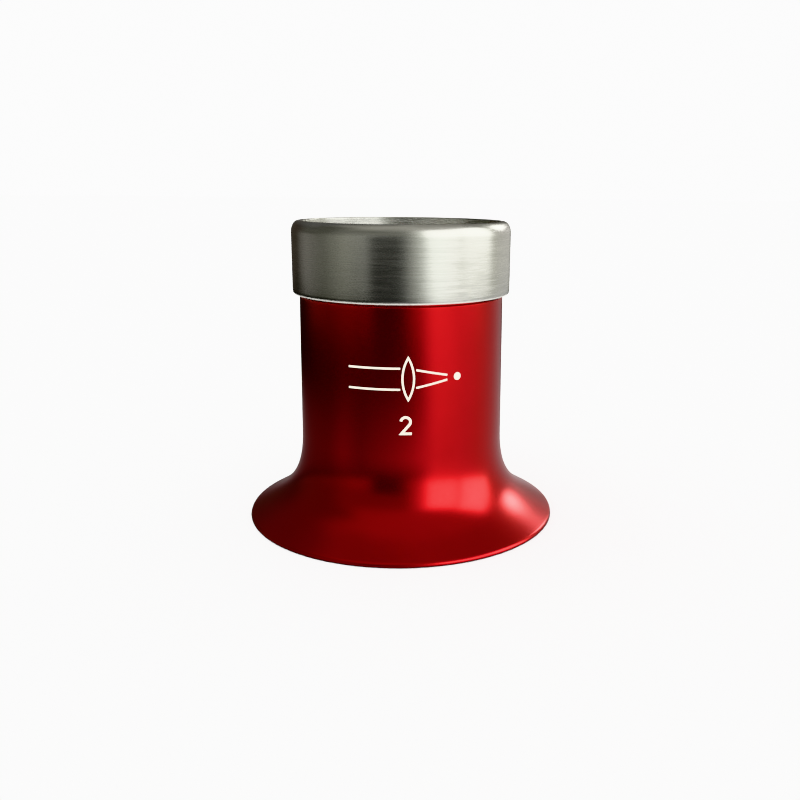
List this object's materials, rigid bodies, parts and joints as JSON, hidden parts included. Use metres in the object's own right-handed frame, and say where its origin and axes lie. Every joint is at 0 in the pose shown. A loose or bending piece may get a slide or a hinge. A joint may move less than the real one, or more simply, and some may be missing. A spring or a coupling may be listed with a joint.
{
  "type": "watchmaker eye loupe",
  "caption": "Watchmaker's eye loupe: flared anodised aluminium eyecup and tube with a lens clamped by a brushed screw ring.",
  "frame": {"origin": "centre of the eyecup's rim, on the plane that the rim rests on", "axes": "+Z along the optical axis from the eye towards the lens and its screw ring; the object is round, so X and Y are free, and -Y faces the viewer"},
  "size_m": [0.037, 0.037, 0.035],
  "materials": {
    "red_anodised": "bead-blasted and anodised red, satin",
    "brushed_metal": "turned and brushed round the axis",
    "optical_glass": "polished and coated",
    "black_rubber": "matte",
    "dark_plastic": "matte"
  },
  "bodies": {
    "eyecup": {"eyecup_body": "red_anodised", "seat_o_ring": "black_rubber", "lens": "optical_glass"},
    "washer": {"slip_washer": "dark_plastic"},
    "ring": {"screw_ring": "brushed_metal"}
  },
  "joints": [
    {"name": "ring_rise", "type": "slide", "parent": "eyecup", "child": "washer", "axis": [0, 0, 1], "range_m": [0, 0.00356]},
    {"name": "ring_turn", "type": "hinge", "parent": "washer", "child": "ring", "pos_m": [0, 0, 0.03094], "axis": [0, 0, 1], "range_deg": [0, 1710]}
  ],
  "couplings": [
    {"joint": "ring_rise", "follows": "ring_turn", "m_per_rad": 0.00011937}
  ]
}
